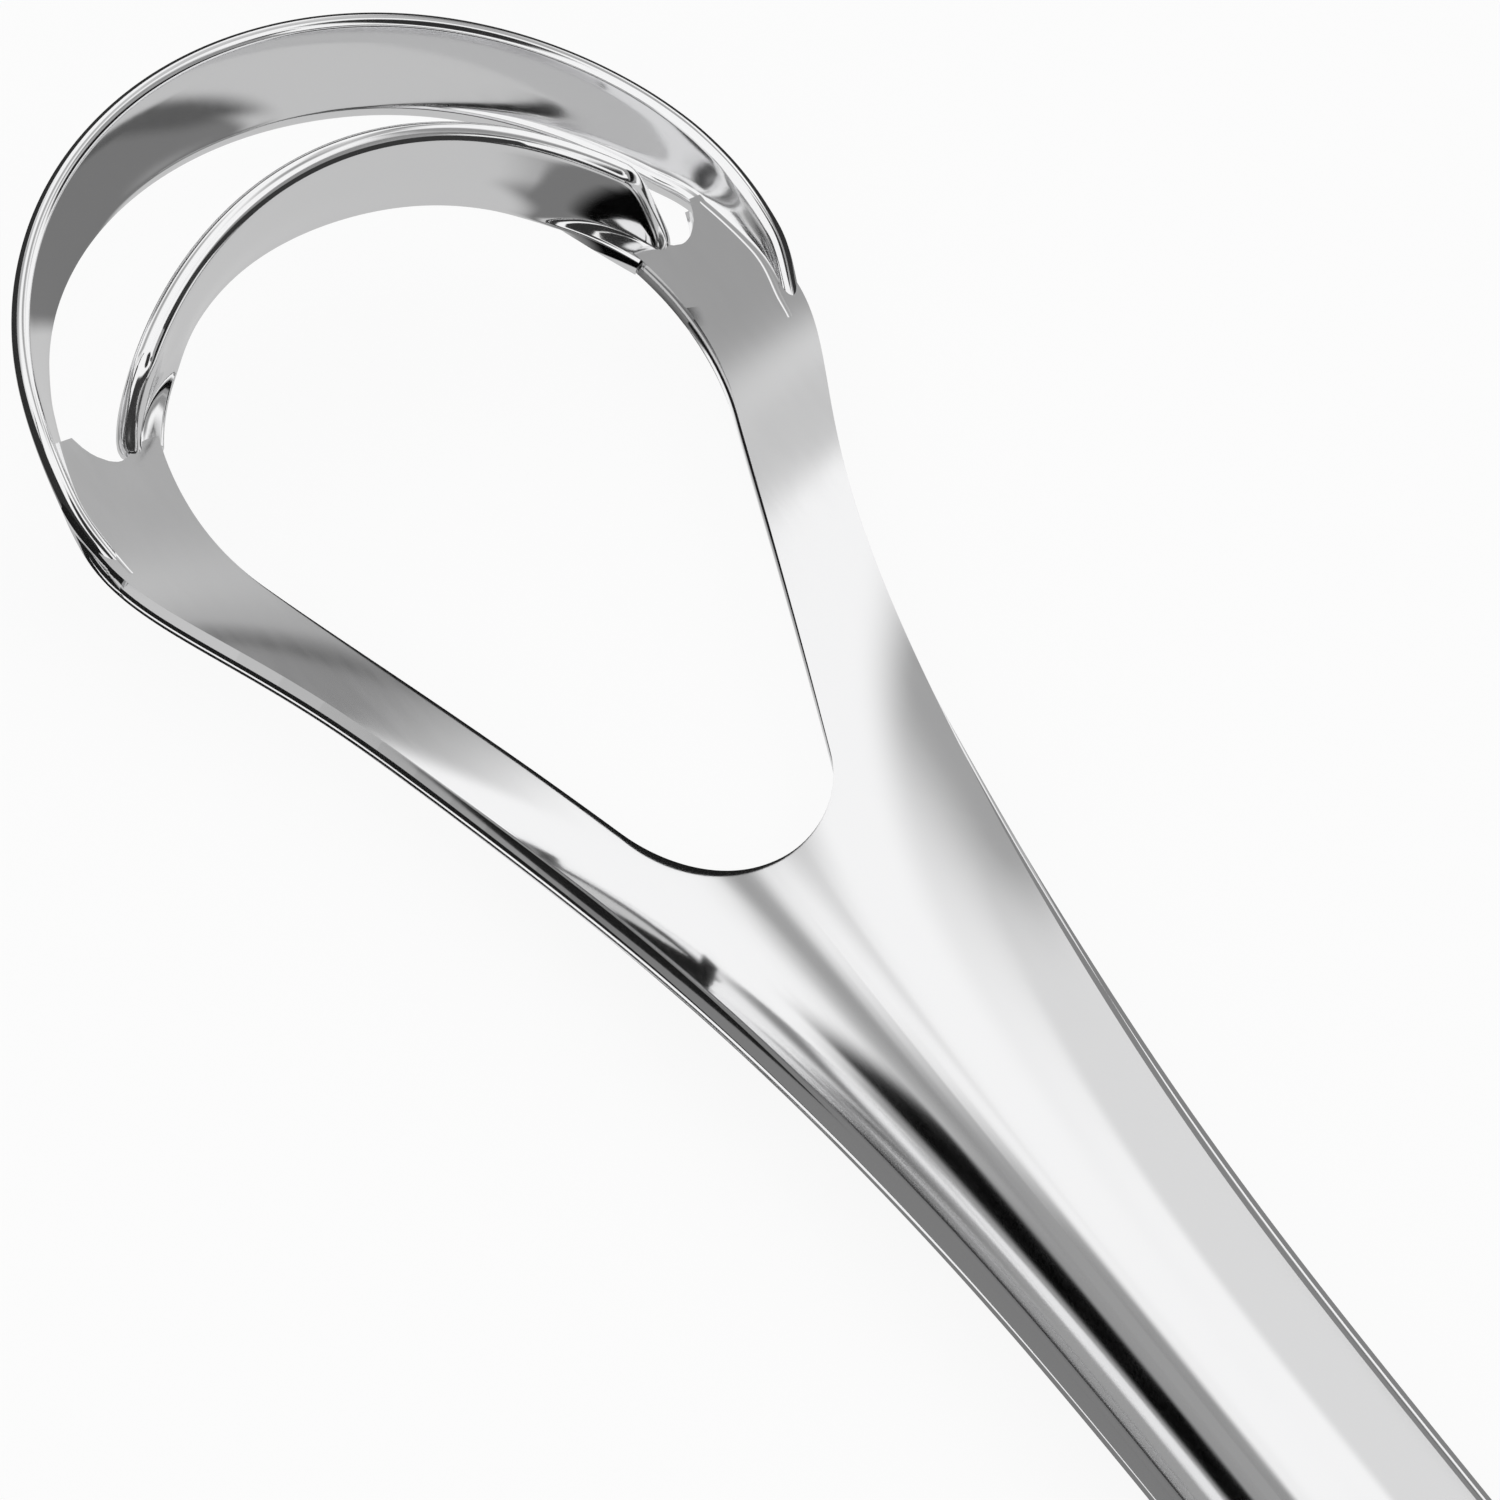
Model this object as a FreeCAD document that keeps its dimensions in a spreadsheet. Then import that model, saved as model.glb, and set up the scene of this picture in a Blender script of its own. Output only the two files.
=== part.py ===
import FreeCAD, Part
import math
import os
import Sketcher

# Tongue scraper pressed from polished stainless sheet.
# Row frame: +X from the handle to the head, +Z to the side that the blades stand up on, symmetric about
# the XZ plane. The origin is the middle of the bounding box in X and Y, at the handle's underside.

doc = FreeCAD.newDocument("tongue_scraper")
Vector = FreeCAD.Vector

# Driving dimensions in millimetres
SIZES = {
    "overall_length": 150.0,
    "sheet_thickness": 0.9,
    "edge_round": 0.22,
    # head
    "head_length": 42.0,
    "head_half_width": 15.0,
    "arm_rise": 2.35,
    "root_setback": 12.76,
    "rim_overhang": 0.2,
    # handle
    "grip_half_width": 5.5,
    "web_half_width": 0.7,
    "channel_depth": 3.1,
    "end_round_share": 1.1,
    # teardrop opening
    "arm_width": 4.75,
    "opening_tip_radius": 4.4,
    "opening_setback": 16.16,
    "opening_to_neck": 4.4,
    # outer blade
    "outer_thickness": 0.7,
    "outer_lean": 1.55,
    "outer_foot_rise": 2.95,
    "outer_rim_rise": 7.25,
    "outer_rim_fall": 2.6,
    # inner blade
    "inner_foot_offset": 1.2,
    "inner_foot_setback": 7.36,
    "inner_foot_rise": 4.35,
    "inner_rim_radius": 15.15,
    "inner_rim_setback": 7.7,
    "inner_rim_rise": 8.9,
    "inner_rim_fall": 2.9,
    "inner_crown_base": 2.6,
    "inner_crown_share": 0.89,
    "inner_crown_inset": 3.75,
    # slot between the blades
    "slot_end_radius": 0.55,
    "slot_end_inset": 3.0,
}

sheet = doc.addObject("Spreadsheet::Sheet", "sizes")
for row, (alias, value) in enumerate(SIZES.items(), start=1):
    sheet.set("A%d" % row, alias)
    sheet.set("B%d" % row, str(value))
    sheet.setAlias("B%d" % row, alias)
doc.recompute()


def size(alias):
    return float(sheet.get(alias))


def bind(target, **expressions):
    for path, text in expressions.items():
        target.setExpression(path, text)


thickness = size("sheet_thickness")
outer_thickness = size("outer_thickness")
edge_round = size("edge_round")
head_length = size("head_length")
tip_x = size("overall_length") / 2
neck_x = tip_x - head_length
root_x = tip_x - size("root_setback")
rim_radius = size("head_half_width") + size("rim_overhang")
rim_centre_x = tip_x - rim_radius
outer_foot_radius = rim_radius - size("outer_lean")
opening_radius = size("head_half_width") - size("arm_width")
inner_foot_radius = opening_radius + size("inner_foot_offset")

# Stations of the pressed sheet, as shares of the head's length: of their way back from the tip, of the
# growth from the grip's half width to the head's, of the arms' rise and of the channel's depth.
STATION_SHARES = [
    (0.200, 0.660, 1.330, 0.130),
    (0.304, 0.914, 1.000, 0.130),
    (0.351, 0.990, 0.857, 0.150),
    (0.399, 1.000, 0.714, 0.160),
    (0.447, 0.930, 0.592, 0.190),
    (0.518, 0.785, 0.480, 0.250),
    (0.613, 0.618, 0.380, 0.350),
    (0.732, 0.465, 0.290, 0.440),
    (0.816, 0.380, 0.175, 0.590),
    (0.899, 0.306, 0.078, 0.750),
    (1.000, 0.224, 0.022, 0.875),
    (1.120, 0.146, 0.004, 0.950),
    (1.270, 0.072, 0.000, 0.985),
    (1.450, 0.020, 0.000, 0.998),
    (1.650, 0.002, 0.000, 1.000),
    (1.850, 0.000, 0.000, 1.000),
]


def stations():
    # Returns x, half width, height of the underside's middle and rise of its edges at each station.
    narrow = size("grip_half_width")
    widening = size("head_half_width") - narrow
    return [(tip_x - along * head_length, narrow + width * widening, rise * size("arm_rise"),
             depth * size("channel_depth")) for along, width, rise, depth in STATION_SHARES]


def closed_wire(edges):
    return Part.Wire([edge.toShape() for edge in edges])


def loft(sections):
    # A smooth solid through the sections, of a low degree so that it doesn't waver between them.
    degree = 2
    return Part.makeLoft(sections, True, False, False, degree)


def channel_section(x, half_width, base, rise):
    # A bent strip of the sheet: a flat web and an arc on each side of it, whose end is square to the
    # sheet and has broken corners.
    web = size("web_half_width")
    under_radius = ((half_width - web) ** 2 + rise ** 2) / (2 * rise)
    top_radius = under_radius - thickness
    spread = 2 * math.atan2(rise, half_width - web)
    under_end = spread - edge_round / under_radius
    top_end = spread - edge_round / top_radius

    def flank(side):
        # The edges of one side, from the web's underside to its top.
        def at(radius, angle):
            return Vector(x, side * (web + radius * math.sin(angle)),
                          base + under_radius - radius * math.cos(angle))

        corners = [
            at(under_radius, under_end),
            at(under_radius - edge_round, spread),
            at(top_radius + edge_round, spread),
            at(top_radius, top_end),
        ]
        under_arc = Part.Arc(at(under_radius, 0), at(under_radius, under_end / 2), corners[0])
        top_arc = Part.Arc(corners[-1], at(top_radius, top_end / 2), at(top_radius, 0))
        return [under_arc] + [Part.LineSegment(*pair) for pair in zip(corners, corners[1:])] + [top_arc]

    web_top = Part.LineSegment(Vector(x, web, base + thickness), Vector(x, -web, base + thickness))
    web_under = Part.LineSegment(Vector(x, -web, base), Vector(x, web, base))
    return closed_wire(flank(1) + [web_top] + flank(-1)[::-1] + [web_under])


def band_section(foot, rim, along, wall):
    # A flat strip from foot to rim, of the wall's thickness, with the corners of foot and rim broken.
    rise = rim - foot
    rise.normalize()
    across = rise.cross(along)
    across.normalize()
    half = across * (wall / 2)
    narrow = across * (wall / 2 - edge_round)
    lift = rise * (wall / 2)
    inset = rise * edge_round
    corners = [
        foot - lift + inset + half,
        rim + lift - inset + half,
        rim + lift + narrow,
        rim + lift - narrow,
        rim + lift - inset - half,
        foot - lift + inset - half,
        foot - lift - narrow,
        foot - lift + narrow,
    ]
    following = corners[1:] + corners[:1]
    return closed_wire([Part.LineSegment(*pair) for pair in zip(corners, following)])


def band(feet, rims, wall):
    # A loft through one strip section for each pair of points.
    middles = [(foot + rim) * 0.5 for foot, rim in zip(feet, rims)]
    sections = []
    for index, (foot, rim) in enumerate(zip(feet, rims)):
        before = middles[max(index - 1, 0)]
        after = middles[min(index + 1, len(middles) - 1)]
        sections.append(band_section(foot, rim, after - before, wall))
    return loft(sections)


def feature(name, shape):
    made = doc.addObject("Part::Feature", name)
    made.Shape = shape
    return made


def box(name, low_x, high_x):
    # A box over the part's whole width and height between two places along X.
    made = doc.addObject("Part::Box", name)
    bind(
        made,
        Length="%s - (%s)" % (high_x, low_x),
        Width="4 * sizes.head_half_width",
        Height="4 * sizes.head_half_width",
    )
    made.setExpression("Placement.Base.x", low_x)
    made.setExpression("Placement.Base.y", "-2 * sizes.head_half_width")
    made.setExpression("Placement.Base.z", "-2 * sizes.head_half_width")
    return made


def boolean(kind, name, base, tool):
    made = doc.addObject(kind, name)
    made.Base = base
    made.Tool = tool
    return made


# Pressed sheet from the grip to past the arms' ends, and the even channel of the grip behind it
sections = [channel_section(*spot) for spot in stations()]
blank = feature("pressed_sheet", loft(sections))
grip = doc.addObject("Part::Extrusion", "grip_channel")
grip.Base = feature("grip_section", sections[-1])
grip.DirMode = "Custom"
grip.Dir = Vector(-1, 0, 0)
grip.Solid = True
bind(grip, LengthFwd="sizes.overall_length")


# Teardrop opening: a large arc towards the head and a small one at the neck, joined by their tangents
outline = doc.addObject("Sketcher::SketchObject", "opening_outline")
large_x = tip_x - size("opening_setback")
small_radius = size("opening_tip_radius")
small_x = neck_x + size("opening_to_neck") + small_radius
lean = math.acos((opening_radius - small_radius) / (large_x - small_x))
turn = math.pi - lean


def on_circle(centre_x, radius, angle):
    return Vector(centre_x + radius * math.cos(angle), radius * math.sin(angle), 0)


def circle(centre_x, radius):
    return Part.Circle(Vector(centre_x, 0, 0), Vector(0, 0, 1), radius)


outline.addGeometry(Part.ArcOfCircle(circle(large_x, opening_radius), -turn, turn))
outline.addGeometry(Part.ArcOfCircle(circle(small_x, small_radius), turn, 2 * math.pi - turn))
outline.addGeometry(Part.LineSegment(on_circle(large_x, opening_radius, turn),
                                     on_circle(small_x, small_radius, turn)))
outline.addGeometry(Part.LineSegment(on_circle(large_x, opening_radius, -turn),
                                     on_circle(small_x, small_radius, -turn)))
outline.addConstraint([
    Sketcher.Constraint("PointOnObject", 0, 3, -1),
    Sketcher.Constraint("PointOnObject", 1, 3, -1),
    Sketcher.Constraint("Tangent", 0, 2, 2, 1),
    Sketcher.Constraint("Tangent", 2, 2, 1, 1),
    Sketcher.Constraint("Tangent", 0, 1, 3, 1),
    Sketcher.Constraint("Tangent", 3, 2, 1, 2),
])
for name, constraint, text in [
    ("large", Sketcher.Constraint("Radius", 0, opening_radius), "sizes.head_half_width - sizes.arm_width"),
    ("small", Sketcher.Constraint("Radius", 1, small_radius), "sizes.opening_tip_radius"),
    ("span", Sketcher.Constraint("DistanceX", 1, 3, 0, 3, large_x - small_x),
     "sizes.head_length - sizes.opening_setback - sizes.opening_to_neck - sizes.opening_tip_radius"),
    ("place", Sketcher.Constraint("DistanceX", -1, 1, 0, 3, large_x),
     "sizes.overall_length / 2 - sizes.opening_setback"),
]:
    index = outline.addConstraint(constraint)
    outline.renameConstraint(index, name)
    outline.setExpression("Constraints." + name, text)

opening = doc.addObject("Part::Extrusion", "opening_cutter")
opening.Base = outline
opening.DirMode = "Normal"
opening.Solid = True
opening.Symmetric = True
bind(opening, LengthFwd="2 * sizes.head_half_width")


def slot_end(name, side):
    # The round end of the slot between the blades, in the end of one arm.
    made = doc.addObject("Part::Cylinder", name)
    bind(made, Radius="sizes.slot_end_radius", Height="2 * sizes.head_half_width")
    made.setExpression("Placement.Base.x", "sizes.overall_length / 2 - sizes.root_setback")
    made.setExpression("Placement.Base.y", "%d * (sizes.head_half_width - sizes.slot_end_inset)" % side)
    made.setExpression("Placement.Base.z", "-sizes.head_half_width")
    return made


# Head frame: the sheet between the neck and the blades' roots, with the opening and the slot's ends cut out
head_span = box("head_span", "sizes.overall_length / 2 - sizes.head_length",
                "sizes.overall_length / 2 - sizes.root_setback")
head_blank = boolean("Part::Common", "head_blank", blank, head_span)
forked = boolean("Part::Cut", "forked_head", head_blank, opening)
slot_ends = boolean("Part::Fuse", "slot_ends", slot_end("slot_end_left", 1), slot_end("slot_end_right", -1))
head_frame = boolean("Part::Cut", "head_frame", forked, slot_ends)

# Handle: the channel behind the neck, with a round end
end_radius = "sizes.end_round_share * sizes.grip_half_width"
end_centre = end_radius + " - sizes.overall_length / 2"
round_end = doc.addObject("Part::Cylinder", "round_end")
bind(round_end, Radius=end_radius, Height="4 * sizes.head_half_width")
round_end.setExpression("Placement.Base.x", end_centre)
round_end.setExpression("Placement.Base.z", "-2 * sizes.head_half_width")
handle_span = box("handle_span", end_centre, "sizes.overall_length / 2 - sizes.head_length")
handle_form = boolean("Part::Fuse", "handle_form", handle_span, round_end)
handle_blank = boolean("Part::Fuse", "handle_blank", blank, grip)
handle = boolean("Part::Common", "handle", handle_blank, handle_form)
doc.recompute()


# Outer blade: a wall round the head's rim, leaning outwards. Its rim falls evenly towards the arms and
# then bends down to the sheet at their outer edges.
OUTER_ANGLES = [0, 13, 26, 39, 52, 64, 74, 81, 87, 92, 96]
OUTER_SINK_SHARES = [0, 0, 0, 0, 0, 0, 0.02, 0.14, 0.42, 0.76, 1.0]


def outer_points(angle, sink_share):
    turned = math.radians(angle)
    back = (1 - math.cos(turned)) / 2
    foot_z = size("outer_foot_rise") + outer_thickness / 2
    level_z = size("outer_rim_rise") - outer_thickness / 2 - back * 2 * size("outer_rim_fall")
    low_z = foot_z + outer_thickness / 4
    tail_radius = size("head_half_width") - outer_thickness / 2

    def on_wall(radius, z):
        # The wall closes in on the sheet's outer edge sooner than it sinks.
        reach = radius + math.sqrt(sink_share) * (tail_radius - radius)
        return Vector(rim_centre_x + reach * math.cos(turned), reach * math.sin(turned), z)

    return (on_wall(outer_foot_radius + outer_thickness / 2, foot_z),
            on_wall(rim_radius - outer_thickness / 2, level_z + sink_share * (low_z - level_z)))


def both_sides(points):
    # Mirrors a half, which starts on the symmetry plane, to the other side.
    mirrored = [Vector(point.x, -point.y, point.z) for point in reversed(points[1:])]
    return mirrored + points


outer_half = [outer_points(*spot) for spot in zip(OUTER_ANGLES, OUTER_SINK_SHARES)]
outer_wall = feature("outer_wall", band(both_sides([foot for foot, rim in outer_half]),
                                        both_sides([rim for foot, rim in outer_half]), outer_thickness))
outer_blade = boolean("Part::Cut", "outer_blade", outer_wall, head_frame)

# Inner blade: the band between opening and slot, raised to a wall that leans outwards towards its roots on
# the arms. It is made a little too long, and an elliptical crown bounds and rounds its ends.
INNER_SHARES = [0, 0.22, 0.44, 0.66, 0.88, 1.06]


def inner_points(share):
    # The points at a share of the way from the middle to the roots on the arms.
    foot_radius = inner_foot_radius + thickness / 2
    foot_centre_x = tip_x - size("inner_foot_setback") - inner_foot_radius
    crown_radius = size("inner_rim_radius")
    crown_centre_x = tip_x - size("inner_rim_setback") - crown_radius
    foot_y = share * math.sqrt(foot_radius ** 2 - (root_x - foot_centre_x) ** 2)
    rim_y = share * math.sqrt(crown_radius ** 2 - (root_x - crown_centre_x) ** 2)
    root_z = size("arm_rise") + thickness / 2
    foot_top = size("inner_foot_rise") + thickness / 2
    foot = Vector(foot_centre_x + math.sqrt(foot_radius ** 2 - foot_y ** 2), foot_y,
                  foot_top - (foot_top - root_z) * share ** 4)
    rim = Vector(crown_centre_x + math.sqrt(crown_radius ** 2 - rim_y ** 2), rim_y,
                 size("inner_rim_rise") - thickness / 2 - size("inner_rim_fall") * share ** 2)
    return foot, rim


inner_half = [inner_points(share) for share in INNER_SHARES]
inner_wall = feature("inner_wall", band(both_sides([foot for foot, rim in inner_half]),
                                        both_sides([rim for foot, rim in inner_half]), thickness))
crown = doc.addObject("Part::Ellipse", "crown_outline")
crown.Placement.Rotation = FreeCAD.Rotation(Vector(0, 1, 0), Vector(0, 0, 1), Vector(1, 0, 0), "XYZ")
bind(crown, MajorRadius="sizes.head_half_width - sizes.inner_crown_inset",
     MinorRadius="sizes.inner_crown_share * (sizes.head_half_width - sizes.inner_crown_inset)")
crown.setExpression("Placement.Base.x", "sizes.overall_length / 2 - sizes.root_setback")
crown.setExpression("Placement.Base.z", "sizes.inner_crown_base")
crown_form = doc.addObject("Part::Extrusion", "crown_form")
crown_form.Base = crown
crown_form.DirMode = "Custom"
crown_form.Dir = Vector(1, 0, 0)
crown_form.Solid = True
bind(crown_form, LengthFwd="sizes.overall_length / 2")
inner_blade = boolean("Part::Common", "inner_blade", inner_wall, crown_form)
doc.recompute()

# Check and write each sub-part
PARTS = [handle, head_frame, outer_blade, inner_blade]
for made in doc.Objects:
    if "Invalid" in made.State or "Error" in made.State:
        raise RuntimeError("%s is in state %s" % (made.Name, made.State))
os.makedirs("parts", exist_ok=True)
for made in PARTS:
    made.Label = made.Name
    shape = made.Shape
    if shape.isNull() or not shape.isValid():
        raise RuntimeError("%s has no valid shape" % made.Name)
    shape.exportStep(os.path.join("parts", made.Label + ".step"))
    bounds = shape.optimalBoundingBox()
    print("%s: %d solid, volume %.1f, x %.2f to %.2f, y %.2f to %.2f, z %.2f to %.2f" % (
        made.Label, len(shape.Solids), shape.Volume, bounds.XMin, bounds.XMax, bounds.YMin, bounds.YMax,
        bounds.ZMin, bounds.ZMax))
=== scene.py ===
import math

import bpy
import numpy as np
from mathutils import Matrix, Vector


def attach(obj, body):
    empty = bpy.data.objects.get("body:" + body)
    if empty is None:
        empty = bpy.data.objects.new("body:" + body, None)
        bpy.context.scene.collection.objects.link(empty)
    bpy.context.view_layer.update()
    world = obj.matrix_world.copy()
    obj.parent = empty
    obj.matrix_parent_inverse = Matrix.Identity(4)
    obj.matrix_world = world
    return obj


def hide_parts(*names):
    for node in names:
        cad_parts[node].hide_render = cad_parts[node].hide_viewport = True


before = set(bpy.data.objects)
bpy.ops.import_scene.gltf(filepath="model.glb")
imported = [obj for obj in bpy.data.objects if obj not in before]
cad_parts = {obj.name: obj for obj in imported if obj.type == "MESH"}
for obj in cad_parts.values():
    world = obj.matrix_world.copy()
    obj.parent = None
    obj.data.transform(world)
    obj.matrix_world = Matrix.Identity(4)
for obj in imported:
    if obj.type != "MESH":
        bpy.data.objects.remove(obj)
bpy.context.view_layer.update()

# The part and the cards round it are worked out in millimetres in the shared frame, with x from the handle
# to the head and z up, and are scaled to metres when they are made.
MM = 0.001

# Sizes that the solids have too
TIP_X = 75.0
HEAD_LENGTH = 42.0
NECK_X = TIP_X - HEAD_LENGTH
END_X = -75.0
ROOT_X = 62.24
THICKNESS = 0.9
HEAD_HALF = 15.0
GRIP_HALF = 5.5
ARM_RISE = 2.35
CHANNEL_DEPTH = 3.1
END_RADIUS = 6.05
OPENING_X = 58.84
OPENING_RADIUS = 10.25
OPENING_TIP_X = 41.8
OPENING_TIP_RADIUS = 4.4
RIM_RADIUS = 15.2
RIM_X = TIP_X - RIM_RADIUS

# Sizes in which the drawn sheet is a little rounder than the solids
WEB_HALF = 0.25
EDGE_ROUND = 0.24

# Shares of the head's length, of the growth in half width, of the arms' rise and of the channel's depth,
# from the tip to the end of the handle, turned round so that x grows from row to row
STATIONS = np.array([
    (0.200, 0.660, 1.330, 0.130),
    (0.304, 0.914, 1.000, 0.130),
    (0.351, 0.990, 0.857, 0.150),
    (0.399, 1.000, 0.714, 0.160),
    (0.447, 0.930, 0.592, 0.190),
    (0.518, 0.785, 0.480, 0.250),
    (0.613, 0.618, 0.380, 0.350),
    (0.732, 0.465, 0.290, 0.440),
    (0.816, 0.380, 0.175, 0.590),
    (0.899, 0.306, 0.078, 0.750),
    (1.000, 0.224, 0.022, 0.875),
    (1.120, 0.146, 0.004, 0.950),
    (1.270, 0.072, 0.000, 0.985),
    (1.450, 0.020, 0.000, 0.998),
    (1.650, 0.002, 0.000, 1.000),
    (1.850, 0.000, 0.000, 1.000),
    (2.400, 0.000, 0.000, 1.000),
    (3.700, 0.000, 0.000, 1.000),
])[::-1]


def cubic(xs, ys, at):
    """Natural cubic spline through the points, read at the given places."""
    n = len(xs)
    gaps = np.diff(xs)
    system = np.eye(n)
    right = np.zeros(n)
    for i in range(1, n - 1):
        system[i, i - 1:i + 2] = gaps[i - 1], 2 * (gaps[i - 1] + gaps[i]), gaps[i]
        right[i] = 6 * ((ys[i + 1] - ys[i]) / gaps[i] - (ys[i] - ys[i - 1]) / gaps[i - 1])
    bend = np.linalg.solve(system, right)
    i = np.clip(np.searchsorted(xs, at) - 1, 0, n - 2)
    gap = gaps[i]
    a = (xs[i + 1] - at) / gap
    b = (at - xs[i]) / gap
    return a * ys[i] + b * ys[i + 1] + ((a ** 3 - a) * bend[i] + (b ** 3 - b) * bend[i + 1]) * gap ** 2 / 6


def smoothed(values, spread):
    """Evens out a row of values with a bell curve of the given spread in steps, cut off at four spreads."""
    reach = int(4 * spread)
    weights = np.exp(-0.5 * (np.arange(-reach, reach + 1) / spread) ** 2)
    padded = np.pad(values, reach, mode="edge")
    return np.convolve(padded, weights / weights.sum(), mode="valid")


def ramp(value, start, run):
    """0 up to the start, 1 from the end of the run, and a smooth rise between."""
    share = np.clip((value - start) / run, 0, 1)
    return share * share * (3 - 2 * share)


def unit(vectors):
    """The vectors at length 1."""
    return vectors / np.linalg.norm(vectors, axis=-1, keepdims=True)


# The sheet's cross-section along x
TABLE_START = END_X - 4
TABLE_END = 66.6
TABLE_STEP = 0.1
TABLE_SPREAD = 12
TABLE_X = np.arange(TABLE_START, TABLE_END, TABLE_STEP)
STATION_X = TIP_X - STATIONS[:, 0] * HEAD_LENGTH


def station_table(column, scale):
    """The stations' column times the scale, read at each place in TABLE_X and evened out."""
    return smoothed(cubic(STATION_X, STATIONS[:, column] * scale, TABLE_X), TABLE_SPREAD)


HALF_TABLE = GRIP_HALF + station_table(1, HEAD_HALF - GRIP_HALF)
BASE_TABLE = station_table(2, ARM_RISE)
DEPTH_TABLE = station_table(3, CHANNEL_DEPTH)


def section(x):
    """Half width, underside's height, arc radius of the top and spread of the arc at x."""
    half = np.interp(x, TABLE_X, HALF_TABLE)
    base = np.interp(x, TABLE_X, BASE_TABLE)
    depth = np.interp(x, TABLE_X, DEPTH_TABLE)
    under = ((half - WEB_HALF) ** 2 + depth ** 2) / (2 * depth)
    spread = 2 * np.arctan2(depth, half - WEB_HALF)
    return half, base, under - THICKNESS, spread


def across_limit(x):
    """Length along the sheet's top from the middle to the edge."""
    _, _, radius, spread = section(x)
    return WEB_HALF + radius * spread


MOST_SINE = 0.999


def across_of(x, y):
    """Length along the sheet's top from the middle to the place above (x, y)."""
    _, _, radius, _ = section(x)
    sine = np.clip((np.abs(y) - WEB_HALF) / radius, 0, MOST_SINE)
    return np.sign(y) * np.where(np.abs(y) <= WEB_HALF, np.abs(y), WEB_HALF + radius * np.arcsin(sine))


def on_top(x, c):
    """Point of the sheet's top at x and at length c from the middle."""
    _, base, radius, _ = section(x)
    angle = np.maximum(np.abs(c) - WEB_HALF, 0) / radius
    y = np.sign(c) * (np.minimum(np.abs(c), WEB_HALF) + radius * np.sin(angle))
    z = base + THICKNESS + radius * (1 - np.cos(angle))
    return np.stack([x, y, z], axis=-1)


NORMAL_STEP = 0.15


def top_normal(x, c):
    """Unit normal of the sheet's top by small differences, pointing up."""
    along = on_top(x + NORMAL_STEP, c) - on_top(x - NORMAL_STEP, c)
    across = on_top(x, c + NORMAL_STEP) - on_top(x, c - NORMAL_STEP)
    normal = unit(np.cross(along, across))
    return normal * np.sign(normal[:, 2:3])


ARM_X_LIMIT = 65
ARM_Y_LIMIT = 14.6


def sheet_top(x, y):
    """Height of the sheet's top at (x, y), or at the nearest place within the head's limits."""
    x = np.minimum(x, ARM_X_LIMIT)
    y = np.clip(y, -ARM_Y_LIMIT, ARM_Y_LIMIT)
    return on_top(x, across_of(x, y))[..., 2]


# Polished steel
STEEL_COLOUR = (0.86, 0.86, 0.865, 1)
MARKS_PER_METRE = (300, 2200, 2200)
MARKS_DETAIL = 6.0
LEAST_ROUGHNESS = 0.06
MOST_ROUGHNESS = 0.13
BUMP_STRENGTH = 0.02
BUMP_DEPTH = 0.00002
SHARP_ANGLE = math.radians(50)


def node(tree, kind, **settings):
    """A new node with the given settings."""
    made = tree.nodes.new(kind)
    for key, value in settings.items():
        setattr(made, key, value)
    return made


def steel(name):
    """Polished steel with hair-fine buffing marks along the handle and faint unevenness."""
    material = bpy.data.materials.new(name)
    material.use_nodes = True
    tree = material.node_tree
    shader = tree.nodes["Principled BSDF"]
    shader.inputs["Metallic"].default_value = 1.0
    shader.inputs["Base Color"].default_value = STEEL_COLOUR
    place = node(tree, "ShaderNodeTexCoord")
    stretch = node(tree, "ShaderNodeMapping")
    stretch.inputs["Scale"].default_value = MARKS_PER_METRE
    marks = node(tree, "ShaderNodeTexNoise")
    marks.inputs["Scale"].default_value = 1.0
    marks.inputs["Detail"].default_value = MARKS_DETAIL
    level = node(tree, "ShaderNodeMapRange")
    level.inputs["To Min"].default_value = LEAST_ROUGHNESS
    level.inputs["To Max"].default_value = MOST_ROUGHNESS
    bump = node(tree, "ShaderNodeBump")
    bump.inputs["Strength"].default_value = BUMP_STRENGTH
    bump.inputs["Distance"].default_value = BUMP_DEPTH
    tree.links.new(place.outputs["Object"], stretch.inputs["Vector"])
    tree.links.new(stretch.outputs["Vector"], marks.inputs["Vector"])
    tree.links.new(marks.outputs["Fac"], level.inputs["Value"])
    tree.links.new(level.outputs["Result"], shader.inputs["Roughness"])
    tree.links.new(marks.outputs["Fac"], bump.inputs["Height"])
    tree.links.new(bump.outputs["Normal"], shader.inputs["Normal"])
    return material


polished = steel("polished_steel")


def new_object(name, points, faces, material):
    """An object in the scene, from points in metres, faces and one material."""
    mesh = bpy.data.meshes.new(name)
    mesh.from_pydata(points, [], faces)
    mesh.materials.append(material)
    made = bpy.data.objects.new(name, mesh)
    bpy.context.scene.collection.objects.link(made)
    return made


def add_piece(name, points, faces, replaces):
    """A piece of polished steel, from points in millimetres, that stands for nodes of the solids."""
    made = new_object(name, [tuple(p) for p in np.asarray(points) * MM], faces, polished)
    made.data.validate()
    made.data.shade_smooth()
    made.data.set_sharp_from_angle(angle=SHARP_ANGLE)
    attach(made, "root")
    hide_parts(*replaces)


# Pressed sheet: the head frame is a grid from the opening's edge out to the arms' outer edges and the neck
# line, and the handle continues its rows behind the neck. A name with q holds lengths along the top from
# the middle.
ARM_STEPS = 110
TIP_STEPS = 48
OUT_STEPS = 26
HANDLE_STEPS = 120
END_STEPS = 26
END_TURN = math.radians(88.5)
EDGE_STEPS = 5

# The opening's edge: a wide arc in front, straight sides and a narrow arc at the back
lean = math.acos((OPENING_RADIUS - OPENING_TIP_RADIUS) / (OPENING_X - OPENING_TIP_X))
turn = math.pi - lean
wide = OPENING_RADIUS + EDGE_ROUND
narrow = OPENING_TIP_RADIUS + EDGE_ROUND


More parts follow.
